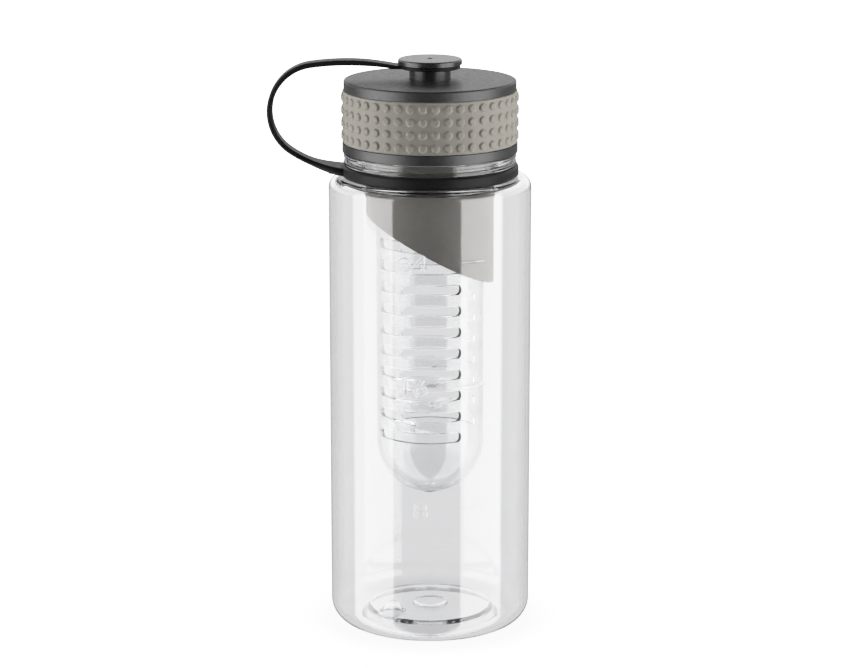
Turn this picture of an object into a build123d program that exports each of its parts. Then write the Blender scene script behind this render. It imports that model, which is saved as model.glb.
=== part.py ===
"""Fruit infuser water bottle, in millimetres.

The bottle stands on z = 0 with its axis on Z. The front faces -Y, the tether loops out to -X, and the long
side of the infuser's slanted collar is at +X. A round piece is a turned profile: (radius, height, rounding).
"""

import os
from math import floor

from build123d import *

# Body: a straight blown wall with a round heel, a foot ring and a pushed-up base
body_radius = 40.5
body_wall = 2.0
heel_rounding = 9.0
foot_ring_width = 13.0
foot_slope_width = 2.7
foot_rounding = 1.5
push_up_height = 4.0
gate_radius = 6.0
gate_height = 1.2
gate_taper = 1.2
gate_rounding = 0.5
index_notch_radius = 3.2
index_notch_inset = 7.5
index_notch_depth = 1.6
shoulder_height = 184.3
shoulder_width = 10.6
shoulder_rounding = 4.2

# Neck: groove for the tether ring, a double bead, and a plain wall that carries the thread
neck_wall = 2.7
neck_length = 21.6
neck_rounding = 0.5
groove_height = 5.2
bead_reach = 4.5
bead_ridge = 1.7
bead_groove_depth = 0.7
bead_groove_width = 1.0
bead_rounding = 0.5

# Infuser collar: a flange on the rim, a spigot that centres it, and a tube cut off at a slant
seal_thickness = 1.2
seal_clearance = 0.2
flange_reach = 0.5
flange_thickness = 2.0
flange_rounding = 0.5
spigot_clearance = 0.1
spigot_length = 7.5
spigot_taper = 1.5
collar_gap = 1.6
collar_wall = 1.8
collar_cut_depth = 60.1
collar_cut_slope = 28.7
collar_edge_rounding = 0.5

# Infuser basket: a round-ended tube with a rim that is a push fit in the collar
basket_gap = 2.2
basket_wall = 1.6
basket_length = 104.1
basket_seat_depth = 35.5
basket_rim_height = 4.0
basket_rim_taper = 2.0
basket_rim_clearance = 0.05
basket_rim_rounding = 0.4
basket_gate_radius = 2.6
basket_gate_height = 0.5
slot_sides = 2
slot_pitch = 8.64
slot_height = 4.1
slot_first_height = 5.4
slot_last_margin = 13.0
slot_start_angle = -67.0
slot_span = 102.0
slot_end_flat = 0.3

# Lid: a domed top over a skirt that is recessed for the grip band
thread_clearance = 1.8
lid_wall = 2.6
lid_top_wall = 2.6
lid_dome = 0.4
lid_bead_clearance = 0.2
lid_edge_rounding = 0.9
lid_lower_rim_reach = 0.6
lid_lower_rim_height = 4.0
lid_upper_rim_height = 4.0
lid_lower_rim_rounding = 0.7
band_recess_depth = 1.1
gasket_width = 7.5
gasket_thickness = 1.8
gasket_rib_wall = 1.4
gasket_rib_height = 1.2
gasket_clearance = 0.2
gasket_skirt_clearance = 0.4

# Grip band: soft ring with rows of round dots
band_reach = 0.4
band_clearance = 0.05
band_end_clearance = 0.1
band_edge_rounding = 0.4
dot_radius = 1.65
dot_crown_radius = 0.85
dot_sides = 6
dot_height = 0.7
dot_root = 0.3
dot_rows = 4
dot_columns = 44
dot_edge_margin = 2.8
dot_first_angle = 3.55

# Button: a snap-in pivot in a blind socket under the lid's top
button_radius = 12.7
button_rise = 8.2
button_head_thickness = 2.1
button_edge_rounding = 0.7
button_dimple_radius = 1.1
button_dimple_depth = 0.6
stem_radius = 8.2
stem_wall = 1.8
stem_web = 2.0
stem_clearance = 0.1
stem_end_clearance = 0.5
stem_slot_width = 2.0
stem_slot_length = 7.0
stem_slot_pairs = 2
barb_height = 1.6
barb_reach = 0.55
barb_lift = 0.8
barb_rounding = 0.3
barb_clearance = 0.15
socket_depth = 10.4
socket_wall = 1.7
socket_rounding = 0.8

# Tether: an elastic ring, a flat strap in a loop, and an eye round the button's stem
ring_reach = 5.4
ring_bore_clearance = 0.2
ring_side_clearance = 0.2
ring_rounding = 1.2
strap_width = 8.5
strap_thickness = 1.6
strap_gap = 0.3
loop_radius = 19.2
loop_reach = 9.4
loop_rise = 1.15
loop_end_angle = 237.0
lug_length = 5.0
lug_width = 15.0
lug_overlap = 1.2
lug_rise = 2.3
eye_inset = 0.7
eye_bore_clearance = 0.4
eye_thickness = 1.4
eye_head_clearance = 0.25
eye_tab_length = 4.0
eye_rounding = 0.3

# Past both faces of whatever a cut goes through
overrun = 5.0

# Radii that follow, from the body inward through the neck and the infuser, and out again to the lid
bore_radius = body_radius - body_wall
foot_inner_radius = body_radius - foot_ring_width
push_up_radius = foot_inner_radius - foot_slope_width
index_notch_offset = push_up_radius - index_notch_inset
neck_radius = body_radius - shoulder_width
neck_bore = neck_radius - neck_wall
bead_radius = neck_radius + bead_reach
ring_radius = neck_radius + ring_reach
spigot_radius = neck_bore - spigot_clearance
flange_radius = neck_radius + flange_reach
collar_radius = neck_bore - collar_gap
collar_bore = collar_radius - collar_wall
basket_radius = collar_bore - basket_gap
lid_skirt_bore = neck_radius + thread_clearance
lid_radius = lid_skirt_bore + lid_wall
band_recess_radius = lid_radius - band_recess_depth
band_radius = lid_radius + band_reach
gasket_radius = lid_skirt_bore - gasket_skirt_clearance
gasket_bore = gasket_radius - gasket_width
eye_radius = button_radius - eye_inset

# Heights that follow, from the shoulder up to the button, and down again into the infuser
bead_bottom = shoulder_height + groove_height
bead_top = bead_bottom + 2 * bead_ridge + bead_groove_width
neck_top = bead_top + neck_length
seal_top = neck_top + seal_thickness
flange_top = seal_top + flange_thickness
lid_skirt_bottom = bead_top + lid_bead_clearance
lid_ceiling = flange_top + gasket_thickness
lid_height = lid_ceiling + lid_top_wall
band_recess_bottom = lid_skirt_bottom + lid_lower_rim_height
band_recess_top = lid_height - lid_upper_rim_height
button_top = lid_height + button_rise
button_underside = button_top - button_head_thickness
eye_top = button_underside - eye_head_clearance
eye_bottom = eye_top - eye_thickness
strap_height = (eye_top + eye_bottom) / 2
strap_foot_height = shoulder_height + lug_rise
socket_floor = lid_height - socket_depth + socket_wall
stem_bottom = socket_floor + stem_end_clearance
spigot_bottom = seal_top - spigot_length
collar_cut_height = neck_top - collar_cut_depth
basket_top = neck_top - basket_seat_depth
basket_round_centre = basket_top - basket_length

# As many rows of slots as the basket's straight wall takes
slot_rows = 1 + floor((basket_length - slot_first_height - slot_last_margin) / slot_pitch)


def turned(*corners):
    """A closed outline of (radius, height, rounding) corners, turned round the bottle's axis."""
    points = [(radius, height) for radius, height, _ in corners]
    outline = FilletPolyline(*points, radius=[rounding for _, _, rounding in corners], close=True)
    return revolve(Plane.XZ * make_face(outline), Axis.Z)


def bottle_body():
    """One clear shell: heel, foot ring, pushed-up base with its gate, shoulder, beaded neck and rim."""
    bead_waist = bead_radius - bead_groove_depth
    lower_ridge_top = bead_bottom + bead_ridge
    upper_ridge_bottom = lower_ridge_top + bead_groove_width
    gate_foot = gate_radius + gate_taper
    floor = push_up_height + body_wall
    outside = turned(
        (0, push_up_height + gate_height, 0),
        (gate_radius, push_up_height + gate_height, gate_rounding),
        (gate_foot, push_up_height, gate_rounding),
        (push_up_radius, push_up_height, foot_rounding),
        (foot_inner_radius, 0, foot_rounding),
        (body_radius, 0, heel_rounding),
        (body_radius, shoulder_height, shoulder_rounding),
        (neck_radius, shoulder_height, 0),
        (neck_radius, bead_bottom, 0),
        (bead_radius, bead_bottom, bead_rounding),
        (bead_radius, lower_ridge_top, bead_rounding),
        (bead_waist, lower_ridge_top, 0),
        (bead_waist, upper_ridge_bottom, 0),
        (bead_radius, upper_ridge_bottom, bead_rounding),
        (bead_radius, bead_top, bead_rounding),
        (neck_radius, bead_top, 0),
        (neck_radius, neck_top, neck_rounding),
        (0, neck_top, 0),
    )
    inside = turned(
        (0, floor + gate_height, 0),
        (gate_radius, floor + gate_height, gate_rounding),
        (gate_foot, floor, gate_rounding),
        (push_up_radius, floor, foot_rounding),
        (foot_inner_radius, body_wall, foot_rounding),
        (bore_radius, body_wall, heel_rounding - body_wall),
        (bore_radius, shoulder_height - body_wall, shoulder_rounding - body_wall),
        (neck_bore, shoulder_height - body_wall, 0),
        (neck_bore, neck_top + overrun, 0),
        (0, neck_top + overrun, 0),
    )
    notch_floor = push_up_height + index_notch_depth
    notch = Pos(-index_notch_offset, 0, notch_floor / 2) * Cylinder(index_notch_radius, notch_floor)
    bump_radius = index_notch_radius + body_wall
    bump_height = notch_floor + body_wall
    bump = Pos(-index_notch_offset, 0, bump_height / 2) * Cylinder(bump_radius, bump_height)
    return outside - (inside - bump) - notch


def tether_ring():
    """Ring in the neck groove, with a lug that tapers to the strap in plan and from the side."""
    bottom = shoulder_height + ring_side_clearance
    top = bead_bottom - ring_side_clearance
    bore = neck_radius + ring_bore_clearance
    ring = turned(
        (bore, bottom, ring_rounding),
        (ring_radius, bottom, ring_rounding),
        (ring_radius, top, ring_rounding),
        (bore, top, ring_rounding),
    )
    root = ring_radius - lug_overlap
    tip = ring_radius + lug_length
    plan = Polyline(
        (-root, -lug_width / 2),
        (-tip, -strap_width / 2),
        (-tip, strap_width / 2),
        (-root, lug_width / 2),
        close=True,
    )
    side = Polyline(
        (-root, bottom + ring_rounding),
        (-tip, strap_foot_height - strap_thickness / 2),
        (-tip, strap_foot_height + strap_thickness / 2),
        (-root, top - ring_rounding),
        close=True,
    )
    from_above = extrude(Plane.XY.offset(bottom) * make_face(plan), top - bottom)
    from_the_side = extrude(Plane.XZ * make_face(side), lug_width / 2, both=True)
    return ring + (from_above & from_the_side)


def strap_path():
    """Middle of the strap, from the eye over the loop and down to the ring's lug."""
    start = (-(eye_radius + eye_tab_length + strap_gap), strap_height)
    centre = (-(ring_radius + loop_reach), strap_height + loop_rise - loop_radius)
    foot = (-(ring_radius + lug_length + strap_gap), strap_foot_height)
    loop = CenterArc(centre, loop_radius, 90, loop_end_angle - 90)
    top_run = TangentArc(loop @ 0, start, tangent=(1, 0))
    lower_run = TangentArc(loop @ 1, foot, tangent=loop % 1)
    return Plane.XZ * Wire([top_run.edge(), loop.edge(), lower_run.edge()])


def tether_strap():
    """Flat band that loops from the lid's button down to the neck ring."""
    path = strap_path()
    start = Plane(origin=path @ 0, x_dir=(0, 1, 0), z_dir=path % 0)
    return sweep(start * Rectangle(strap_width, strap_thickness), path=path)


def tether_eye():
    """Thin eye that lies under the button's head, with a tab for the strap."""
    middle = Pos(0, 0, (eye_top + eye_bottom) / 2)
    tab_middle = -(eye_radius + eye_tab_length) / 2
    tab = Pos(tab_middle, 0, 0) * Box(-2 * tab_middle, strap_width, eye_thickness)
    disc = Cylinder(eye_radius, eye_thickness) + tab
    disc = fillet(disc.edges().filter_by(Plane.XY), eye_rounding)
    bore = Cylinder(stem_radius + eye_bore_clearance, eye_thickness + overrun)
    return middle * (disc - bore)


def lid_shell():
    """Domed top, skirt with a recess for the grip band, lower rim, gasket rib and the button's socket."""
    lower_rim_radius = lid_radius + lid_lower_rim_reach
    rib_outer = gasket_bore - gasket_clearance
    rib_inner = rib_outer - gasket_rib_wall
    rib_bottom = lid_ceiling - gasket_rib_height
    socket_bore = stem_radius + stem_clearance
    socket_outer = socket_bore + socket_wall
    socket_bottom = socket_floor - socket_wall
    shell = turned(
        (0, lid_height + lid_dome, 0),
        (lid_radius, lid_height, lid_edge_rounding),
        (lid_radius, band_recess_top, 0),
        (band_recess_radius, band_recess_top, 0),
        (band_recess_radius, band_recess_bottom, 0),
        (lower_rim_radius, band_recess_bottom, 0),
        (lower_rim_radius, lid_skirt_bottom, lid_lower_rim_rounding),
        (lid_skirt_bore, lid_skirt_bottom, 0),
        (lid_skirt_bore, lid_ceiling, 0),
        (rib_outer, lid_ceiling, 0),
        (rib_outer, rib_bottom, 0),
        (rib_inner, rib_bottom, 0),
        (rib_inner, lid_ceiling, 0),
        (socket_outer, lid_ceiling, socket_rounding),
        (socket_outer, socket_bottom, socket_rounding),
        (0, socket_bottom, 0),
    )
    groove_bottom = stem_bottom + barb_lift - barb_clearance
    groove_top = groove_bottom + barb_height + 2 * barb_clearance
    groove_radius = stem_radius + barb_reach + barb_clearance
    socket = turned(
        (0, socket_floor, 0),
        (socket_bore, socket_floor, 0),
        (socket_bore, stem_bottom, 0),
        (groove_radius, groove_bottom, 0),
        (groove_radius, groove_top, 0),
        (socket_bore, groove_top, 0),
        (socket_bore, lid_height + overrun, 0),
        (0, lid_height + overrun, 0),
    )
    return shell - socket


def grip_dot():
    """One many-sided dot that rises along Z from its root, sunk in the band, to a smaller flat crown."""
    root = RegularPolygon(dot_radius, dot_sides)
    crown = Pos(0, 0, dot_root + dot_height) * RegularPolygon(dot_crown_radius, dot_sides)
    return loft([root, crown], ruled=True)


def grip_band():
    """Soft ring in the lid's recess, with rows of dots spaced evenly between its edges."""
    bottom = band_recess_bottom + band_end_clearance
    top = band_recess_top - band_end_clearance
    inner = band_recess_radius + band_clearance
    band = turned(
        (inner, bottom, 0),
        (band_radius, bottom, band_edge_rounding),
        (band_radius, top, band_edge_rounding),
        (inner, top, 0),
    )
    dot = Pos(band_radius - dot_root, 0, 0) * Rot(0, 90, 0) * grip_dot()
    pitch = (top - bottom - 2 * dot_edge_margin) / (dot_rows - 1)
    dots = []
    for row in range(dot_rows):
        height = bottom + dot_edge_margin + row * pitch
        for column in range(dot_columns):
            turn = dot_first_angle + 360 * column / dot_columns
            dots.append(Pos(0, 0, height) * Rot(0, 0, turn) * dot)
    return band.fuse(*dots)


def lid_gasket():
    """Flat sealing ring between the lid's ceiling and the infuser's flange."""
    return turned(
        (gasket_bore, flange_top, 0),
        (gasket_radius, flange_top, 0),
        (gasket_radius, lid_ceiling, 0),
        (gasket_bore, lid_ceiling, 0),
    )


def lid_button():
    """Round head with a dimple on a hollow stem that is slit into barbed legs."""
    barb_bottom = stem_bottom + barb_lift
    barb_top = barb_bottom + barb_height
    dimple_floor = button_top - button_dimple_depth
    hollow_top = button_underside - stem_web
    hollow_radius = stem_radius - stem_wall
    button = turned(
        (0, dimple_floor, 0),
        (button_dimple_radius, dimple_floor, 0),
        (button_dimple_radius, button_top, 0),
        (button_radius, button_top, button_edge_rounding),
        (button_radius, button_underside, 0),
        (stem_radius, button_underside, 0),
        (stem_radius, barb_top, 0),
        (stem_radius + barb_reach, barb_top, 0),
        (stem_radius + barb_reach, barb_bottom, barb_rounding),
        (stem_radius - barb_reach, stem_bottom, 0),
        (hollow_radius, stem_bottom, 0),
        (hollow_radius, hollow_top, 0),
        (0, hollow_top, 0),
    )
    slot_length = stem_slot_length + overrun
    slot = Pos(0, 0, stem_bottom + stem_slot_length - slot_length / 2) * Box(
        2 * stem_radius + overrun, stem_slot_width, slot_length
    )
    for pair in range(stem_slot_pairs):
        button -= Rot(0, 0, 180 * pair / stem_slot_pairs) * slot
    return button


def rim_seal():
    """Flat ring between the neck's rim and the collar's flange."""
    inner = neck_bore + seal_clearance
    outer = neck_radius - seal_clearance
    return turned((inner, neck_top, 0), (outer, neck_top, 0), (outer, seal_top, 0), (inner, seal_top, 0))


def infuser_collar():
    """Flanged tube, centred in the neck by its spigot and cut off at a slant that is longest at +X."""
    tube_bottom = collar_cut_height - 2 * collar_radius
    tube = turned(
        (collar_bore, tube_bottom, 0),
        (collar_radius, tube_bottom, 0),
        (collar_radius, spigot_bottom - spigot_taper, 0),
        (spigot_radius, spigot_bottom, 0),
        (spigot_radius, seal_top, 0),
        (flange_radius, seal_top, flange_rounding),
        (flange_radius, flange_top, flange_rounding),
        (collar_bore, flange_top, flange_rounding),
    )
    slant = Plane(origin=(0, 0, collar_cut_height), z_dir=Vector(0, 0, 1).rotate(Axis.Y, collar_cut_slope))
    collar = split(tube, bisect_by=slant, keep=Keep.TOP)
    above_slant = {edge: abs(slant.to_local_coords(edge.center()).Z) for edge in collar.edges()}
    lower_edges = [edge for edge, height in above_slant.items() if height < collar_wall]
    return fillet(lower_edges, collar_edge_rounding)


def basket_slot():
    """One slot as a ring sector with rounded ends, a little deeper than the basket's wall."""
    inner = basket_radius - 2 * basket_wall
    outer = basket_radius + basket_wall
    rounding = (slot_height - slot_end_flat) / 2
    section = Pos((inner + outer) / 2, 0) * Rectangle(outer - inner, slot_height)
    sector = revolve(Plane.XZ * section, Axis.Z, revolution_arc=slot_span)
    ends = [edge for edge in sector.edges() if edge.geom_type == GeomType.LINE and abs((edge % 0).Z) < 0.5]
    return Rot(0, 0, slot_start_angle - 90) * fillet(ends, rounding)


def infuser_basket():
    """Round-ended tube with a push-fit rim, a gate mark at its nose and rows of slots on both sides."""
    bore = basket_radius - basket_wall
    rim_radius = collar_bore - basket_rim_clearance
    rim_bottom = basket_top - basket_rim_height
    tube = Pos(0, 0, basket_round_centre + basket_length / 2) * Cylinder(basket_radius, basket_length)
    rim = turned(
        (0, rim_bottom - basket_rim_taper, 0),
        (basket_radius, rim_bottom - basket_rim_taper, 0),
        (rim_radius, rim_bottom, 0),
        (rim_radius, basket_top, basket_rim_rounding),
        (0, basket_top, 0),
    )
    nose = Pos(0, 0, basket_round_centre) * Sphere(basket_radius)
    gate_length = basket_wall + basket_gate_height
    gate_middle = basket_round_centre - basket_radius - basket_gate_height + gate_length / 2
    gate = Pos(0, 0, gate_middle) * Cylinder(basket_gate_radius, gate_length)
    hollow_length = basket_length + overrun
    hollow = Pos(0, 0, basket_round_centre + hollow_length / 2) * Cylinder(bore, hollow_length)
    hollow += Pos(0, 0, basket_round_centre) * Sphere(bore)
    basket = tube + rim + nose + gate - hollow
    slot = basket_slot()
    for row in range(slot_rows):
        for side in range(slot_sides):
            turn = Rot(0, 0, 360 * side / slot_sides)
            height = basket_round_centre + slot_first_height + row * slot_pitch
            basket -= Pos(0, 0, height) * turn * slot
    return basket


pieces = {
    "bottle_body": bottle_body,
    "tether_ring": tether_ring,
    "tether_strap": tether_strap,
    "tether_eye": tether_eye,
    "lid_button": lid_button,
    "lid_shell": lid_shell,
    "grip_band": grip_band,
    "lid_gasket": lid_gasket,
    "infuser_collar": infuser_collar,
    "rim_seal": rim_seal,
    "infuser_basket": infuser_basket,
}

os.makedirs("parts", exist_ok=True)
for name, build in pieces.items():
    export_step(build(), f"parts/{name}.step")
    print(name)
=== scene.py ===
"""Looks of the fruit infuser water bottle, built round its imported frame. Profiles are in millimetres."""

import math

import bmesh
import bpy
from mathutils import Matrix, Vector


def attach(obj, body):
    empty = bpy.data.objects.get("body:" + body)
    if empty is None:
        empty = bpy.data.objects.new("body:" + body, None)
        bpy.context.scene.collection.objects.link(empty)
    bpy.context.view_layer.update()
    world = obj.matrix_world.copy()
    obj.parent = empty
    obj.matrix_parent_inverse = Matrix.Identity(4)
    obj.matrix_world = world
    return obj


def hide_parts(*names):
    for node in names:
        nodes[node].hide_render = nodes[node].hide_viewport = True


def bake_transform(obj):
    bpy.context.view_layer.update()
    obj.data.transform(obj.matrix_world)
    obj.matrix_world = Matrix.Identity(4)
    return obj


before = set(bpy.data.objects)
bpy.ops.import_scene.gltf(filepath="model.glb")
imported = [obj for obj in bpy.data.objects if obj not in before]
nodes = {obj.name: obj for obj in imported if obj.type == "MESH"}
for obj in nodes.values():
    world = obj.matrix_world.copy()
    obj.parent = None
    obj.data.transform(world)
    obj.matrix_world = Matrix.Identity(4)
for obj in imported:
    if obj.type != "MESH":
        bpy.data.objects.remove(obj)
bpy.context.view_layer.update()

MM = 0.001
WHITE = (1.0, 1.0, 1.0, 1.0)

# Camera in metres and degrees, fitted to the photograph's 851 by 668 pixels
IMAGE_WIDTH = 851
AXIS_COLUMN = 430
FOCAL_PIXELS = 3014.05
SENSOR_WIDTH = 36.0
CAMERA_PLACE = (0.0, -1.18415, 0.40223)
CAMERA_PITCH = 13.439

# Studio as radiance, with angles in degrees from the camera's side and heights of directions from -1 to 1
STUDIO_TURN = -3.8
PANEL_INNER_ANGLE = 39.7
PANEL_OUTER_ANGLE = 94.6
PANEL_EDGE = 1.2
PANEL_TOP = 0.55
PANEL_LIGHT = 4.6
FILL_INNER_ANGLE = 57.0
FILL_LIGHT = 3.0
FILL_ROOM_LIGHT = 0.03
ROOM_LIGHT = 0.14
PASSED_ROOM_LIGHT = 0.7
BACKDROP_LIGHT = 1.12
BACKDROP_TOP = 0.75
TOP_EDGE = 0.1
HORIZON_EDGE = 0.02
MIRRORED_FLOOR_LIGHT = 0.2
SEEN_LIGHT = 2.6

# Floor in metres, and the painted contact shadow where the bottle stands on it, as the camera and as passing
# rays see it
FLOOR_RADIUS = 20.0
FLOOR_STEPS = 48
FLOOR_SHADE = 0.5
FLOOR_ROUGHNESS = 0.9
FLOOR_GLOW = 0.92
FLOOR_SEEN_GLOW = 2.3
# Painted contact shadow round the bottle's foot: its radius and reach in metres, and the share of glow left
# in it
PAINTED_SHADOW_RADIUS = 0.038
PAINTED_SHADOW_REACH = 0.022
PAINTED_SHADOW_SHARE = 0.88
PAINTED_SHADOW_SEEN_SHARE = 0.66

# Tones: the radiance that shows as white, and radiances below it with the share of white they show as
WHITE_LEVEL = 2.6
TONES = ((0.3, 0.3), (0.5, 0.49), (0.74, 0.69), (1.19, 0.87), (1.8, 0.965))
COMBINED_CURVE = 3

# Light paths through the clear walls
MAX_BOUNCES = 32
TRANSMISSION_BOUNCES = 24
GLOSSY_BOUNCES = 8

# Noise in cycles per metre, and reliefs in metres, of the finishes
NOISE_RANGE = (0.3, 0.7)
RIPPLE_SCALE = 28.0
RIPPLE_DETAIL = 1.0
RIPPLE_HEIGHT = 0.0004
SHADES_SCALE = 420.0
SHADES_DETAIL = 4.0
SHEEN_SCALE = 700.0
SHEEN_SPREAD = 0.05
GRAIN_DETAIL = 2.0
GRAIN_ROUGHNESS = 0.6
GRAIN_HEIGHT = 0.00008

# Fineness of turned meshes
ARC_STEP = 6.0
SUPPORT = 0.25
COLUMN_STEP = 1.25
FRONT = 270.0
SHARP_ANGLE = 50.0
NEAR = 0.001

# Bottle, as the solid has it, with its index notch where the photograph has it
BODY_RADIUS = 40.5
BODY_WALL = 2.0
HEEL_ROUNDING = 9.0
FOOT_INNER_RADIUS = 27.5
PUSH_UP_RADIUS = 24.8
PUSH_UP_HEIGHT = 4.0
FOOT_ROUNDING = 1.5
GATE_RADIUS = 6.0
GATE_HEIGHT = 1.2
GATE_TAPER = 1.2
SHOULDER_HEIGHT = 184.3
SHOULDER_ROUNDING = 4.2
NECK_RADIUS = 29.9
NECK_BORE = 27.2
NECK_TOP = 215.5
NECK_INSIDE_ROUNDING = 3.0
RIM_ROUNDING = 0.9
BEAD_RADIUS = 34.4
BEAD_WAIST = 33.7
BEAD_BOTTOM = 189.5
BEAD_RIDGE = 1.7
BEAD_TOP = 193.9
BEAD_ROUNDING = 0.6
EDGE_ROUNDING = 0.4
NOTCH_ANGLE = 214.0
NOTCH_OFFSET = 18.2
NOTCH_DEPTH = 3.4
NOTCH_RADIUS = 5.4
NOTCH_CROWN_RADIUS = 1.6
NOTCH_MARGIN = 1.5
NOTCH_STEP = 0.4
NOTCH_COLUMN_STEP = 1.0

# Volume scale, raised on the bottle's front: figures, their middle heights, and a line beside each
FIGURE_ROWS = (("24", 156.6), ("16", 107.2), ("8", 57.0))
FIGURE_HEIGHT = 5.7
FIGURE_WIDTH = 4.5
FIGURE_WIDTH_SHARE = 0.57
FIGURE_GAP = 1.8
FIGURE_RIGHT = -1.6
FIGURE_STROKE = 0.3
FIGURE_SLOPE = 0.3
FIGURE_RELIEF = 0.28
FIGURE_REACH = 1.0
FIGURE_STEP = 0.22
FIGURE_COLUMN_STEP = 0.3
FIGURE_ANGLE = 24.0
FIGURE_MARGIN = 2.0
LINE_START = 12.7
LINE_END = 21.0
LINE_STROKE = 0.2
LINE_RELIEF = 0.35
LINE_ANGLE = 34.0

# Strokes of each figure as shares of its height: lines by both ends, arcs by centre, radius and angles
FIGURE_LINES = {
    "1": [(0.30, 0.0, 0.30, 1.0), (0.30, 1.0, 0.10, 0.80)],
    "2": [(0.50, 0.54, 0.04, 0.0), (0.04, 0.0, 0.56, 0.0)],
    "4": [(0.42, 0.0, 0.42, 1.0), (0.42, 1.0, 0.0, 0.30), (0.0, 0.30, 0.58, 0.30)],
    "6": [(0.055, 0.40, 0.42, 1.0)],
    "8": [],
}
FIGURE_ARCS = {
    "1": [],
    "2": [(0.29, 0.73, 0.27, -42, 170)],
    "4": [],
    "6": [(0.29, 0.27, 0.27, 0, 360)],
    "8": [(0.29, 0.27, 0.27, 0, 360), (0.29, 0.77, 0.23, 0, 360)],
}

# Screw thread: one start on the neck, and one in the lid half a pitch above it
THREAD_PITCH = 4.23
THREAD_START = 198.6
THREAD_TURNS = 2.6
THREAD_RELIEF = 1.2
THREAD_CREST = 0.45
THREAD_SLOPE = 0.75
THREAD_FADE = 20.0
THREAD_STEP = 0.22
THREAD_MARGIN = 2.0
LID_BORE = 31.7
LID_THREAD_RELIEF = 1.1
LID_THREAD_TURNS = 2.2
LID_THREAD_ROOT = 0.3
LID_THREAD_STEP = 3.0

# Grip band
BAND_INNER = 33.25
BAND_RADIUS = 34.7
BAND_BOTTOM = 198.2
BAND_TOP = 219.0
BAND_ROUNDING = 0.5
BAND_INNER_ROUNDING = 0.2
DOT_RADIUS = 1.6
DOT_HEIGHT = 0.62
DOT_RIM = 0.75
DOT_ROWS = 4
DOT_COLUMNS = 44
DOT_MARGIN = 2.8
DOT_FIRST_ANGLE = 3.55
DOT_COLUMN_STEPS = 18
DOT_ROW_STEP = 0.27

# Strap of the tether, which bends between two places given in metres
STRAP_WIDTH = 8.5
STRAP_THICKNESS = 2.1
STRAP_START_THICKNESS = 1.5
STRAP_FOOT_THICKNESS = 3.2
STRAP_FOOT_WIDTH = 16.5
STRAP_FLARE = 17.0
STRAP_ROUNDING_SHARE = 0.46
STRAP_CENTRE = (-44.7, 210.2)
STRAP_RADIUS = 18.95
STRAP_START = (-13.6, 228.25)
STRAP_FOOT = (-33.6, 186.7)
STRAP_LOOP_START = 98.0
STRAP_LOOP_END = 237.0
STRAP_STEPS = 36
STRAP_RUN_STEPS = 14


def shader(name, colour, roughness, **sockets):
    """A new material with one Principled shader, its node tree and that shader."""
    material = bpy.data.materials.new(name)
    material.use_nodes = True
    tree = material.node_tree
    principled = tree.nodes["Principled BSDF"]
    principled.inputs["Base Color"].default_value = (*colour, 1.0)
    principled.inputs["Roughness"].default_value = roughness
    for socket, value in sockets.items():
        principled.inputs[socket.replace("_", " ")].default_value = value
    return material, tree, principled


def feed(tree, value, socket):
    """Set a node's socket to a number, or link an output to it."""
    if isinstance(value, (int, float)):
        socket.default_value = value
    else:
        tree.links.new(value, socket)


def maths(tree, operation, *values):
    """Result of a maths node on numbers and outputs."""
    node = tree.nodes.new("ShaderNodeMath")
    node.operation = operation
    for socket, value in zip(node.inputs, values):
        feed(tree, value, socket)
    return node.outputs["Value"]


def mapped(tree, value, source, target=(0.0, 1.0), kind="LINEAR"):
    """A value, mapped from one range to another and held at both ends."""
    node = tree.nodes.new("ShaderNodeMapRange")
    node.interpolation_type = kind
    node.inputs["From Min"].default_value, node.inputs["From Max"].default_value = source
    feed(tree, target[0], node.inputs["To Min"])
    feed(tree, target[1], node.inputs["To Max"])
    tree.links.new(value, node.inputs["Value"])
    return node.outputs["Result"]


def past(tree, value, edge, width):
    """0 where a value is below an edge, 1 above it, and a smooth rise within the width on each side."""
    return mapped(tree, value, (edge - width, edge + width), kind="SMOOTHSTEP")


def chosen(tree, switch, on, off):
    """The first value where the switch is 1, and the second where it is 0."""
    first = maths(tree, "MULTIPLY", switch, on)
    return maths(tree, "ADD", first, maths(tree, "MULTIPLY", maths(tree, "SUBTRACT", 1.0, switch), off))


def noise(tree, scale, detail=3.0, roughness=0.5):
    """Noise in object space, in cycles per metre."""
    place = tree.nodes.new("ShaderNodeTexCoord")
    texture = tree.nodes.new("ShaderNodeTexNoise")
    texture.inputs["Scale"].default_value = scale
    texture.inputs["Detail"].default_value = detail
    texture.inputs["Roughness"].default_value = roughness
    tree.links.new(place.outputs["Object"], texture.inputs["Vector"])
    return texture.outputs["Fac"]


def bump(tree, principled, height, strength, distance):
    """Bump on the shader, whose full relief is distance in metres."""
    node = tree.nodes.new("ShaderNodeBump")
    node.inputs["Strength"].default_value = strength
    node.inputs["Distance"].default_value = distance
    tree.links.new(height, node.inputs["Height"])
    tree.links.new(node.outputs["Normal"], principled.inputs["Normal"])


def clear_plastic(name, colour, ior, ripple):
    """Clear blown or moulded plastic, with the long faint ripples of its mould."""
    material, tree, principled = shader(name, colour, 0.0, Transmission_Weight=1.0, IOR=ior)
    bump(tree, principled, noise(tree, RIPPLE_SCALE, RIPPLE_DETAIL), ripple, RIPPLE_HEIGHT)
    return material


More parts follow.
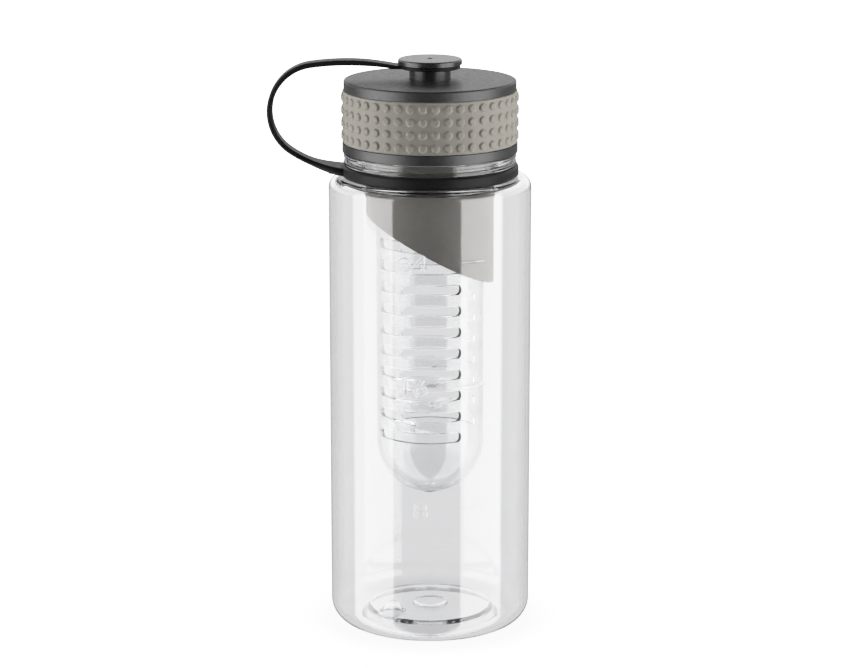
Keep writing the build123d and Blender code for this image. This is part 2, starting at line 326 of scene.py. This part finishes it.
def dull_plastic(name, dark, light, roughness, grain, relief, specular=0.5):
    """Moulded plastic or rubber: two close shades, a fine grain, and sheen that varies with it."""
    material, tree, principled = shader(name, dark, roughness, Specular_IOR_Level=specular)
    shades = tree.nodes.new("ShaderNodeMix")
    shades.data_type = "RGBA"
    shades.inputs["A"].default_value = (*dark, 1.0)
    shades.inputs["B"].default_value = (*light, 1.0)
    share = mapped(tree, noise(tree, SHADES_SCALE, SHADES_DETAIL), NOISE_RANGE)
    tree.links.new(share, shades.inputs["Factor"])
    tree.links.new(shades.outputs["Result"], principled.inputs["Base Color"])
    sheen = (roughness - SHEEN_SPREAD, roughness + SHEEN_SPREAD)
    varied = mapped(tree, noise(tree, SHEEN_SCALE), NOISE_RANGE, sheen)
    tree.links.new(varied, principled.inputs["Roughness"])
    bump(tree, principled, noise(tree, grain, GRAIN_DETAIL, GRAIN_ROUGHNESS), relief, GRAIN_HEIGHT)
    return material


clear_bottle = clear_plastic("clear_bottle", colour=(0.83, 0.832, 0.84), ior=1.54, ripple=0.05)
clear_basket = clear_plastic("clear_basket", colour=(0.92, 0.922, 0.926), ior=1.5, ripple=0.06)
black_elastomer = dull_plastic(
    "black_elastomer", dark=(0.014, 0.014, 0.015), light=(0.018, 0.018, 0.019),
    roughness=0.42, grain=1500.0, relief=0.2, specular=0.11)
black_plastic = dull_plastic(
    "black_plastic", dark=(0.006, 0.006, 0.007), light=(0.010, 0.010, 0.011),
    roughness=0.42, grain=1400.0, relief=0.8, specular=0.68)
satin_plastic = dull_plastic(
    "satin_plastic", dark=(0.009, 0.009, 0.010), light=(0.012, 0.012, 0.013),
    roughness=0.3, grain=1500.0, relief=0.1, specular=0.65)
taupe_elastomer = dull_plastic(
    "taupe_elastomer", dark=(0.43, 0.405, 0.356), light=(0.46, 0.435, 0.385),
    roughness=0.6, grain=1800.0, relief=0.35, specular=0.3)
taupe_plastic = dull_plastic(
    "taupe_plastic", dark=(0.45, 0.42, 0.368), light=(0.48, 0.452, 0.398),
    roughness=0.4, grain=1200.0, relief=0.2, specular=0.3)
pale_silicone = dull_plastic(
    "pale_silicone", dark=(0.62, 0.62, 0.60), light=(0.68, 0.68, 0.66),
    roughness=0.5, grain=900.0, relief=0.3)

finishes = {
    "infuser_basket": clear_basket,
    "tether_ring": black_elastomer,
    "tether_eye": black_elastomer,
    "lid_shell": black_plastic,
    "lid_button": satin_plastic,
    "infuser_collar": taupe_plastic,
    "lid_gasket": pale_silicone,
    "rim_seal": pale_silicone,
}
for node, finish in finishes.items():
    slots = nodes[node].material_slots
    for slot in slots:
        slot.material = finish
    if not slots:
        nodes[node].data.materials.append(finish)


def turned_by(vector, angle):
    """A flat vector, turned by an angle in radians."""
    return Matrix.Rotation(angle, 2) @ vector


def signed_angle(first, second):
    """Angle in radians from the first flat vector to the second, positive to the left."""
    return math.atan2(first.x * second.y - first.y * second.x, first.dot(second))


def supported(points, closed):
    """The line with a point close to both ends of each long run, to keep smooth shading at its corners."""
    pairs = list(zip(points, points[1:] + points[:1])) if closed else list(zip(points, points[1:]))
    result = []
    for first, second in pairs:
        result.append(first)
        run = second - first
        if run.length > 4 * SUPPORT:
            result.append(first + run.normalized() * SUPPORT)
            result.append(second - run.normalized() * SUPPORT)
    return result if closed else result + [points[-1]]


def rounded(corners, closed=False):
    """Points of a line through (across, up, rounding) corners, with an arc at each rounded corner."""
    points = []
    for index, (across, up, rounding) in enumerate(corners):
        corner = Vector((across, up))
        if not rounding:
            points.append(corner)
            continue
        before = (Vector(corners[index - 1][:2]) - corner).normalized()
        after = (Vector(corners[(index + 1) % len(corners)][:2]) - corner).normalized()
        half = before.angle(after) / 2
        centre = corner + (before + after).normalized() * rounding / math.sin(half)
        start = corner + before * rounding / math.tan(half) - centre
        end = corner + after * rounding / math.tan(half) - centre
        sweep = signed_angle(start, end)
        steps = max(2, math.ceil(abs(math.degrees(sweep)) / ARC_STEP - NEAR))
        points += [centre + turned_by(start, sweep * step / steps) for step in range(steps + 1)]
    return supported(points, closed)


def refined(line, step, inside):
    """The line with its runs divided into steps wherever inside(spot) holds."""
    result = []
    for first, second in zip(line, line[1:]):
        result.append(first)
        steps = math.ceil((second - first).length / step)
        between = [first.lerp(second, count / steps) for count in range(1, steps)]
        result += [spot for spot in between if inside(spot)]
    return result + [line[-1]]


def smooth_step(value):
    """0 below 0, 1 above 1, and a smooth rise between."""
    value = min(1.0, max(0.0, value))
    return value * value * (3 - 2 * value)


def piece(name, points, faces, finish):
    """A smooth mesh object from points in millimetres, with its finish."""
    mesh = bpy.data.meshes.new(name)
    mesh.from_pydata([Vector(point) * MM for point in points], [], faces)
    sides = bmesh.new()
    sides.from_mesh(mesh)
    bmesh.ops.recalc_face_normals(sides, faces=sides.faces)
    sides.to_mesh(mesh)
    sides.free()
    mesh.polygons.foreach_set("use_smooth", [True] * len(mesh.polygons))
    mesh.set_sharp_from_angle(angle=math.radians(SHARP_ANGLE))
    mesh.materials.append(finish)
    result = bpy.data.objects.new(name, mesh)
    bpy.context.scene.collection.objects.link(result)
    return result


def turned(line, angles, moved, closed):
    """Points and faces of a line turned round the axis, with moved(angle, radius, height) for its points."""
    points = []
    rings = []
    for spot in line:
        if spot.x == 0:
            rings.append([len(points)] * len(angles))
            points.append((0, 0, moved(0, 0, spot.y)[1]))
            continue
        rings.append(range(len(points), len(points) + len(angles)))
        for angle in angles:
            radius, height = moved(angle, spot.x, spot.y)
            points.append((radius * math.cos(angle), radius * math.sin(angle), height))
    faces = []
    count = len(angles)
    for ring, following in zip(rings, rings[1:] + rings[:1] if closed else rings[1:]):
        for column in range(count):
            beside = (column + 1) % count
            corners = [ring[column], ring[beside], following[beside], following[column]]
            faces.append(list(dict.fromkeys(corners)))
    return points, faces


def columns(*fine):
    """Angles round the axis in radians, COLUMN_STEP degrees apart, finer in each (from, to, step) range."""
    angles = []
    angle = 0.0
    while angle < 360.0 - NEAR:
        angles.append(math.radians(angle))
        steps = [step for low, high, step in fine if low <= angle < high]
        angle += min(steps, default=COLUMN_STEP)
    return angles


def line_distance(x, y, stroke):
    """Distance from a point to a straight stroke."""
    x0, y0, x1, y1 = stroke
    dx, dy = x1 - x0, y1 - y0
    share = min(1.0, max(0.0, ((x - x0) * dx + (y - y0) * dy) / (dx * dx + dy * dy)))
    return math.hypot(x - x0 - share * dx, y - y0 - share * dy)


def arc_distance(x, y, stroke):
    """Distance from a point to an arc, whose angles in degrees run upward from first to last."""
    across, up, radius, first, last = stroke
    angle = math.degrees(math.atan2(y - up, x - across))
    inside = (angle - first) % 360 <= last - first
    if inside:
        return abs(math.hypot(x - across, y - up) - radius)
    turns = map(math.radians, (first, last))
    ends = [(across + radius * math.cos(turn), up + radius * math.sin(turn)) for turn in turns]
    return min(math.hypot(x - end_x, y - end_y) for end_x, end_y in ends)


def figure_distance(x, y, figure):
    """Distance from a point to the strokes of a figure whose lower left corner is at zero."""
    across, up = x * FIGURE_WIDTH_SHARE / FIGURE_WIDTH, y / FIGURE_HEIGHT
    lines = [line_distance(across, up, stroke) for stroke in FIGURE_LINES[figure]]
    arcs = [arc_distance(across, up, stroke) for stroke in FIGURE_ARCS[figure]]
    return min(lines + arcs) * FIGURE_HEIGHT


def figure_relief(across, height):
    """How far the volume scale stands out of the bottle's front."""
    for figures, middle in FIGURE_ROWS:
        up = height - middle + FIGURE_HEIGHT / 2
        if not -FIGURE_REACH < up < FIGURE_HEIGHT + FIGURE_REACH:
            continue
        depth = -FIGURE_STROKE - FIGURE_SLOPE
        for place, figure in enumerate(reversed(figures)):
            left = FIGURE_RIGHT - (place + 1) * FIGURE_WIDTH - place * FIGURE_GAP
            if left - FIGURE_REACH < across < left + FIGURE_WIDTH + FIGURE_REACH:
                depth = max(depth, -figure_distance(across - left, up, figure))
        relief = smooth_step((depth + FIGURE_STROKE + FIGURE_SLOPE) / FIGURE_SLOPE)
        line = line_distance(across, height, (LINE_START, middle, LINE_END, middle))
        line_relief = LINE_RELIEF * smooth_step((LINE_STROKE + FIGURE_SLOPE - line) / FIGURE_SLOPE)
        return max(relief * FIGURE_RELIEF, line_relief)
    return 0.0


def thread_relief(angle, height):
    """How far the neck's thread, a right-handed ridge that fades at both ends, stands out of it."""
    relief = 0.0
    for turn in range(math.ceil(THREAD_TURNS)):
        along = math.degrees(angle) % 360 + 360 * turn
        left = 360 * THREAD_TURNS - along
        if left <= 0:
            continue
        off = abs(height - THREAD_START - THREAD_PITCH * along / 360)
        ridge = smooth_step((THREAD_CREST + THREAD_SLOPE - off) / THREAD_SLOPE)
        relief = max(relief, ridge * smooth_step(min(along, left) / THREAD_FADE))
    return relief * THREAD_RELIEF


def notch_relief(angle, radius):
    """How far the index notch lifts the base, under and above it alike."""
    turn = math.radians(NOTCH_ANGLE)
    across = radius * math.cos(angle) - NOTCH_OFFSET * math.cos(turn)
    along = radius * math.sin(angle) - NOTCH_OFFSET * math.sin(turn)
    slope = NOTCH_RADIUS - NOTCH_CROWN_RADIUS
    return NOTCH_DEPTH * smooth_step((NOTCH_RADIUS - math.hypot(across, along)) / slope)


def in_figures(spot):
    """Whether a spot of the bottle's outline is beside the volume scale."""
    beside = [abs(spot.y - middle) < FIGURE_HEIGHT / 2 + FIGURE_MARGIN for _, middle in FIGURE_ROWS]
    return abs(spot.x - BODY_RADIUS) < NEAR and any(beside)


def in_thread(spot):
    """Whether a spot of the bottle's outline is on the neck's thread."""
    top = THREAD_START + THREAD_PITCH * THREAD_TURNS + THREAD_MARGIN
    return abs(spot.x - NECK_RADIUS) < NEAR and THREAD_START - THREAD_MARGIN < spot.y < top


def in_notch(spot):
    """Whether a spot of the bottle's outline is on the base, as far out as the index notch reaches."""
    return abs(spot.x - NOTCH_OFFSET) < NOTCH_RADIUS + NOTCH_MARGIN and spot.y < SHOULDER_HEIGHT / 2


def body_point(angle, radius, height):
    """A point of the bottle, moved by the volume scale, the thread or the index notch."""
    spot = Vector((radius, height))
    if in_figures(spot) and math.sin(angle) < 0:
        return radius + figure_relief(radius * math.cos(angle), height), height
    if in_thread(spot):
        return radius + thread_relief(angle, height), height
    if in_notch(spot):
        return radius, height + notch_relief(angle, radius)
    return radius, height


def bottle_body():
    """The clear bottle, with its thread, volume scale and index notch."""
    bed = PUSH_UP_HEIGHT + BODY_WALL
    gate_foot = GATE_RADIUS + GATE_TAPER
    bore = BODY_RADIUS - BODY_WALL
    ceiling = SHOULDER_HEIGHT - BODY_WALL
    line = rounded([
        (0, PUSH_UP_HEIGHT + GATE_HEIGHT, 0),
        (GATE_RADIUS, PUSH_UP_HEIGHT + GATE_HEIGHT, EDGE_ROUNDING),
        (gate_foot, PUSH_UP_HEIGHT, EDGE_ROUNDING),
        (PUSH_UP_RADIUS, PUSH_UP_HEIGHT, FOOT_ROUNDING),
        (FOOT_INNER_RADIUS, 0, FOOT_ROUNDING),
        (BODY_RADIUS, 0, HEEL_ROUNDING),
        (BODY_RADIUS, SHOULDER_HEIGHT, SHOULDER_ROUNDING),
        (NECK_RADIUS, SHOULDER_HEIGHT, EDGE_ROUNDING),
        (NECK_RADIUS, BEAD_BOTTOM, EDGE_ROUNDING),
        (BEAD_RADIUS, BEAD_BOTTOM, BEAD_ROUNDING),
        (BEAD_RADIUS, BEAD_BOTTOM + BEAD_RIDGE, BEAD_ROUNDING),
        (BEAD_WAIST, BEAD_BOTTOM + BEAD_RIDGE, 0),
        (BEAD_WAIST, BEAD_TOP - BEAD_RIDGE, 0),
        (BEAD_RADIUS, BEAD_TOP - BEAD_RIDGE, BEAD_ROUNDING),
        (BEAD_RADIUS, BEAD_TOP, BEAD_ROUNDING),
        (NECK_RADIUS, BEAD_TOP, EDGE_ROUNDING),
        (NECK_RADIUS, NECK_TOP, RIM_ROUNDING),
        (NECK_BORE, NECK_TOP, RIM_ROUNDING),
        (NECK_BORE, ceiling, NECK_INSIDE_ROUNDING),
        (bore, ceiling, SHOULDER_ROUNDING - BODY_WALL),
        (bore, BODY_WALL, HEEL_ROUNDING - BODY_WALL),
        (FOOT_INNER_RADIUS, BODY_WALL, FOOT_ROUNDING),
        (PUSH_UP_RADIUS, bed, FOOT_ROUNDING),
        (gate_foot, bed, EDGE_ROUNDING),
        (GATE_RADIUS, bed + GATE_HEIGHT, EDGE_ROUNDING),
        (0, bed + GATE_HEIGHT, 0),
    ])
    line = refined(line, FIGURE_STEP, in_figures)
    line = refined(line, THREAD_STEP, in_thread)
    line = refined(line, NOTCH_STEP, in_notch)
    notch = math.degrees(math.asin((NOTCH_RADIUS + NOTCH_MARGIN) / NOTCH_OFFSET))
    beside_notch = (NOTCH_ANGLE - notch, NOTCH_ANGLE + notch, NOTCH_COLUMN_STEP)
    angles = columns((FRONT - FIGURE_ANGLE, FRONT + LINE_ANGLE, FIGURE_COLUMN_STEP), beside_notch)
    points, faces = turned(line, angles, body_point, False)
    body = piece("bottle", points, faces, clear_bottle)
    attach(body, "bottle")
    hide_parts("bottle_body")


def dot_relief(angle, height):
    """How far the grip band's nearest dot, a flat disc with a soft rim, stands out of it."""
    column_pitch = 360 / DOT_COLUMNS
    off = (math.degrees(angle) - DOT_FIRST_ANGLE + column_pitch / 2) % column_pitch - column_pitch / 2
    row_pitch = (BAND_TOP - BAND_BOTTOM - 2 * DOT_MARGIN) / (DOT_ROWS - 1)
    row = min(DOT_ROWS - 1, max(0, round((height - BAND_BOTTOM - DOT_MARGIN) / row_pitch)))
    up = height - BAND_BOTTOM - DOT_MARGIN - row * row_pitch
    away = math.hypot(math.radians(off) * BAND_RADIUS, up)
    rim = min(1.0, max(0.0, (DOT_RADIUS - away) / DOT_RIM))
    return DOT_HEIGHT * math.sqrt(rim * (2 - rim))


def band_point(angle, radius, height):
    """A point of the grip band, moved out by its dots."""
    if abs(radius - BAND_RADIUS) < NEAR:
        return radius + dot_relief(angle, height), height
    return radius, height


def grip_band():
    """The soft taupe band with its rows of round dots."""
    line = rounded([
        (BAND_INNER, BAND_BOTTOM, BAND_INNER_ROUNDING),
        (BAND_RADIUS, BAND_BOTTOM, BAND_ROUNDING),
        (BAND_RADIUS, BAND_TOP, BAND_ROUNDING),
        (BAND_INNER, BAND_TOP, BAND_INNER_ROUNDING),
    ], closed=True)
    line = refined(line, DOT_ROW_STEP, lambda spot: abs(spot.x - BAND_RADIUS) < NEAR)
    count = DOT_COLUMNS * DOT_COLUMN_STEPS
    angles = [math.radians(DOT_FIRST_ANGLE) + math.tau * step / count for step in range(count)]
    points, faces = turned(line, angles, band_point, True)
    band = piece("band", points, faces, taupe_elastomer)
    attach(band, "lid")
    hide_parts("grip_band")


def swept(sections):
    """Points and faces of a closed section carried along a path, with both ends shut."""
    count = len(sections[0])
    points = [point for section in sections for point in section]
    faces = []
    for ring in range(len(sections) - 1):
        start = ring * count
        for corner in range(count):
            beside = (corner + 1) % count
            faces.append([start + corner, start + beside, start + count + beside, start + count + corner])
    faces.append(list(range(count)))
    faces.append(list(range(len(points) - count, len(points))))
    return points, faces


def lid_thread():
    """The ridge in the lid's bore, half a pitch above the neck's, which fades at both ends."""
    whole = 360 * LID_THREAD_TURNS
    steps = math.ceil(whole / LID_THREAD_STEP)
    foot = THREAD_CREST + THREAD_SLOPE
    sections = []
    for step in range(steps + 1):
        along = whole * step / steps
        fade = smooth_step(min(along, whole - along) / THREAD_FADE)
        crest = LID_BORE - LID_THREAD_RELIEF * fade
        root = LID_BORE + LID_THREAD_ROOT
        height = THREAD_START + THREAD_PITCH * (along / 360 + 0.5)
        corners = [(root, -foot), (crest, -THREAD_CREST), (crest, THREAD_CREST), (root, foot)]
        turn = math.radians(along)
        sections.append([(r * math.cos(turn), r * math.sin(turn), height + up) for r, up in corners])
    points, faces = swept(sections)
    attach(piece("lid_thread", points, faces, black_plastic), "lid")


def arc_points(start, direction, end, steps):
    """Points after the first of the arc that leaves start along a direction and reaches end."""
    normal = turned_by(direction, math.pi / 2)
    chord = end - start
    centre = start + normal * chord.length_squared / (2 * normal.dot(chord))
    sweep = 2 * signed_angle(direction, chord)
    return [centre + turned_by(start - centre, sweep * step / steps) for step in range(1, steps + 1)]


def strap_middle():
    """Middle of the strap in the plane of its loop, from the button over the loop to the neck ring."""
    centre = Vector(STRAP_CENTRE)
    first = turned_by(Vector((STRAP_RADIUS, 0)), math.radians(STRAP_LOOP_START))
    sweep = math.radians(STRAP_LOOP_END - STRAP_LOOP_START)
    loop = [centre + turned_by(first, sweep * step / STRAP_STEPS) for step in range(STRAP_STEPS + 1)]
    towards_button = turned_by(first, -math.pi / 2).normalized()
    top = arc_points(loop[0], towards_button, Vector(STRAP_START), STRAP_RUN_STEPS)
    towards_ring = turned_by(-towards_button, sweep)
    lower = arc_points(loop[-1], towards_ring, Vector(STRAP_FOOT), STRAP_RUN_STEPS)
    return top[::-1] + loop + lower


def strap_section(along, left):
    """Outline of the strap's section at given distances from its thin end and from its flared foot."""
    thin = smooth_step(along / STRAP_FLARE)
    flare = smooth_step((STRAP_FLARE - left) / STRAP_FLARE)
    thick = STRAP_START_THICKNESS + thin * (STRAP_THICKNESS - STRAP_START_THICKNESS)
    thick += flare * (STRAP_FOOT_THICKNESS - STRAP_THICKNESS)
    half = (STRAP_WIDTH + flare * (STRAP_FOOT_WIDTH - STRAP_WIDTH)) / 2
    rounding = thick * STRAP_ROUNDING_SHARE
    half_thick = thick / 2
    return rounded([
        (-half, -half_thick, rounding),
        (half, -half_thick, rounding),
        (half, half_thick, rounding),
        (-half, half_thick, rounding),
    ], closed=True)


def strap():
    """The flat elastic strap, with rounded edges, that loops from the lid's button down to the neck ring."""
    middle = strap_middle()
    lengths = [0.0]
    for first, second in zip(middle, middle[1:]):
        lengths.append(lengths[-1] + (second - first).length)
    sections = []
    for index, spot in enumerate(middle):
        ahead = middle[min(index + 1, len(middle) - 1)] - middle[max(index - 1, 0)]
        normal = turned_by(ahead.normalized(), math.pi / 2)
        section = strap_section(lengths[index], lengths[-1] - lengths[index])
        sections.append([(spot.x + normal.x * up, across, spot.y + normal.y * up) for across, up in section])
    points, faces = swept(sections)
    loop = piece("strap", points, faces, black_elastomer)
    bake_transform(loop)
    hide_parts("tether_strap")


def studio():
    """World light, chosen by the way a ray has come. Mirrored rays see two tall side panels, a backdrop and
    a dim room. Rays from dull surfaces see narrower panels, passed rays a pale room, the camera white."""
    world = bpy.data.worlds.new("studio")
    bpy.context.scene.world = world
    world.use_nodes = True
    tree = world.node_tree
    background = tree.nodes["Background"]
    background.inputs["Color"].default_value = WHITE
    place = tree.nodes.new("ShaderNodeTexCoord")
    parts = tree.nodes.new("ShaderNodeSeparateXYZ")
    tree.links.new(place.outputs["Generated"], parts.inputs["Vector"])
    ray = tree.nodes.new("ShaderNodeLightPath")

    towards = maths(tree, "MULTIPLY", parts.outputs["Y"], -1.0)
    turn = maths(tree, "MULTIPLY", maths(tree, "ARCTAN2", parts.outputs["X"], towards), math.degrees(1.0))
    angle = maths(tree, "ABSOLUTE", maths(tree, "SUBTRACT", turn, STUDIO_TURN))
    outer = past(tree, angle, PANEL_OUTER_ANGLE, PANEL_EDGE)
    below = maths(tree, "SUBTRACT", 1.0, past(tree, parts.outputs["Z"], PANEL_TOP, TOP_EDGE))
    panel = maths(tree, "SUBTRACT", past(tree, angle, PANEL_INNER_ANGLE, PANEL_EDGE), outer)
    panel = maths(tree, "MULTIPLY", panel, below)
    fill = maths(tree, "SUBTRACT", past(tree, angle, FILL_INNER_ANGLE, PANEL_EDGE), outer)
    fill = maths(tree, "MULTIPLY", fill, below)

    under_top = maths(tree, "SUBTRACT", 1.0, past(tree, parts.outputs["Z"], BACKDROP_TOP, TOP_EDGE))
    above = maths(tree, "MULTIPLY", past(tree, parts.outputs["Z"], 0.0, HORIZON_EDGE), under_top)
    more = maths(tree, "MULTIPLY", above, BACKDROP_LIGHT - MIRRORED_FLOOR_LIGHT)
    behind = maths(tree, "ADD", more, MIRRORED_FLOOR_LIGHT)
    backdrop = maths(tree, "MULTIPLY", maths(tree, "MULTIPLY", outer, under_top), behind)

    room = chosen(tree, ray.outputs["Is Transmission Ray"], PASSED_ROOM_LIGHT, ROOM_LIGHT)
    mirrored = maths(tree, "MULTIPLY", panel, PANEL_LIGHT)
    mirrored = maths(tree, "ADD", mirrored, maths(tree, "ADD", backdrop, room))
    filled = maths(tree, "ADD", maths(tree, "MULTIPLY", fill, FILL_LIGHT), FILL_ROOM_LIGHT)
    passed = maths(tree, "ADD", maths(tree, "MULTIPLY", above, BACKDROP_LIGHT), PASSED_ROOM_LIGHT)

    was_mirrored = maths(tree, "MINIMUM", ray.outputs["Glossy Depth"], 1.0)
    was_mirrored = maths(tree, "MAXIMUM", ray.outputs["Is Glossy Ray"], was_mirrored)
    was_spread = maths(tree, "MINIMUM", ray.outputs["Diffuse Depth"], 1.0)
    was_spread = maths(tree, "MAXIMUM", ray.outputs["Is Diffuse Ray"], was_spread)
    light = chosen(tree, was_mirrored, mirrored, passed)
    light = chosen(tree, was_spread, filled, light)
    light = chosen(tree, ray.outputs["Is Camera Ray"], SEEN_LIGHT, light)
    tree.links.new(light, background.inputs["Strength"])


def floor():
    """Wide pale floor, darker under and round the bottle's foot, where a contact shadow is painted. Rays
    that were mirrored or spread go through it, so that the tall panels show in the bottle down to its heel,
    and its sides stay brighter than its front."""
    material, tree, principled = shader("floor", (FLOOR_SHADE,) * 3, FLOOR_ROUGHNESS, Emission_Color=WHITE)
    ray = tree.nodes.new("ShaderNodeLightPath")
    seen = ray.outputs["Is Camera Ray"]
    glow = mapped(tree, seen, (0.0, 1.0), (FLOOR_GLOW, FLOOR_SEEN_GLOW))
    place = tree.nodes.new("ShaderNodeTexCoord")
    away = tree.nodes.new("ShaderNodeVectorMath")
    away.operation = "LENGTH"
    tree.links.new(place.outputs["Object"], away.inputs[0])
    # Painted contact shadow: the floor's glow is dimmed round the bottle's foot, more for the camera than
    # for passing rays
    least = mapped(tree, seen, (0.0, 1.0), (PAINTED_SHADOW_SHARE, PAINTED_SHADOW_SEEN_SHARE))
    reach = (PAINTED_SHADOW_RADIUS, PAINTED_SHADOW_RADIUS + PAINTED_SHADOW_REACH)
    painted_shadow = mapped(tree, away.outputs["Value"], reach, (least, 1.0), "SMOOTHSTEP")
    tree.links.new(maths(tree, "MULTIPLY", glow, painted_shadow), principled.inputs["Emission Strength"])

    bounces = maths(tree, "ADD", ray.outputs["Glossy Depth"], ray.outputs["Diffuse Depth"])
    unseen = tree.nodes.new("ShaderNodeBsdfTransparent")
    mixed = tree.nodes.new("ShaderNodeMixShader")
    tree.links.new(maths(tree, "MINIMUM", bounces, 1.0), mixed.inputs["Fac"])
    tree.links.new(principled.outputs["BSDF"], mixed.inputs[1])
    tree.links.new(unseen.outputs["BSDF"], mixed.inputs[2])
    tree.links.new(mixed.outputs["Shader"], tree.nodes["Material Output"].inputs["Surface"])

    turns = [math.tau * step / FLOOR_STEPS for step in range(FLOOR_STEPS)]
    mesh = bpy.data.meshes.new("floor")
    rim = [(FLOOR_RADIUS * math.cos(turn), FLOOR_RADIUS * math.sin(turn), 0) for turn in turns]
    mesh.from_pydata(rim, [], [range(FLOOR_STEPS)])
    mesh.materials.append(material)
    disc = bpy.data.objects.new("floor", mesh)
    bpy.context.scene.collection.objects.link(disc)
    disc.visible_glossy = False
    disc.visible_diffuse = False


def camera():
    """The photograph's view of the bottle."""
    data = bpy.data.cameras.new("camera")
    data.sensor_width = SENSOR_WIDTH
    data.lens = FOCAL_PIXELS * SENSOR_WIDTH / IMAGE_WIDTH
    data.shift_x = (IMAGE_WIDTH / 2 - AXIS_COLUMN) / IMAGE_WIDTH
    eye = bpy.data.objects.new("camera", data)
    eye.location = CAMERA_PLACE
    eye.rotation_euler = (math.radians(90 - CAMERA_PITCH), 0, 0)
    bpy.context.scene.collection.objects.link(eye)
    bpy.context.scene.camera = eye


def tones():
    """Plain colours, with highlights that roll off towards white."""
    view = bpy.context.scene.view_settings
    view.view_transform = "Standard"
    view.use_curve_mapping = True
    view.curve_mapping.white_level = (WHITE_LEVEL,) * 3
    curve = view.curve_mapping.curves[COMBINED_CURVE]
    for radiance, share in TONES:
        curve.points.new(radiance / WHITE_LEVEL, share)
    view.curve_mapping.update()


bottle_body()
grip_band()
lid_thread()
strap()
studio()
floor()
camera()
tones()
bpy.context.scene.cycles.max_bounces = MAX_BOUNCES
bpy.context.scene.cycles.transmission_bounces = TRANSMISSION_BOUNCES
bpy.context.scene.cycles.glossy_bounces = GLOSSY_BOUNCES
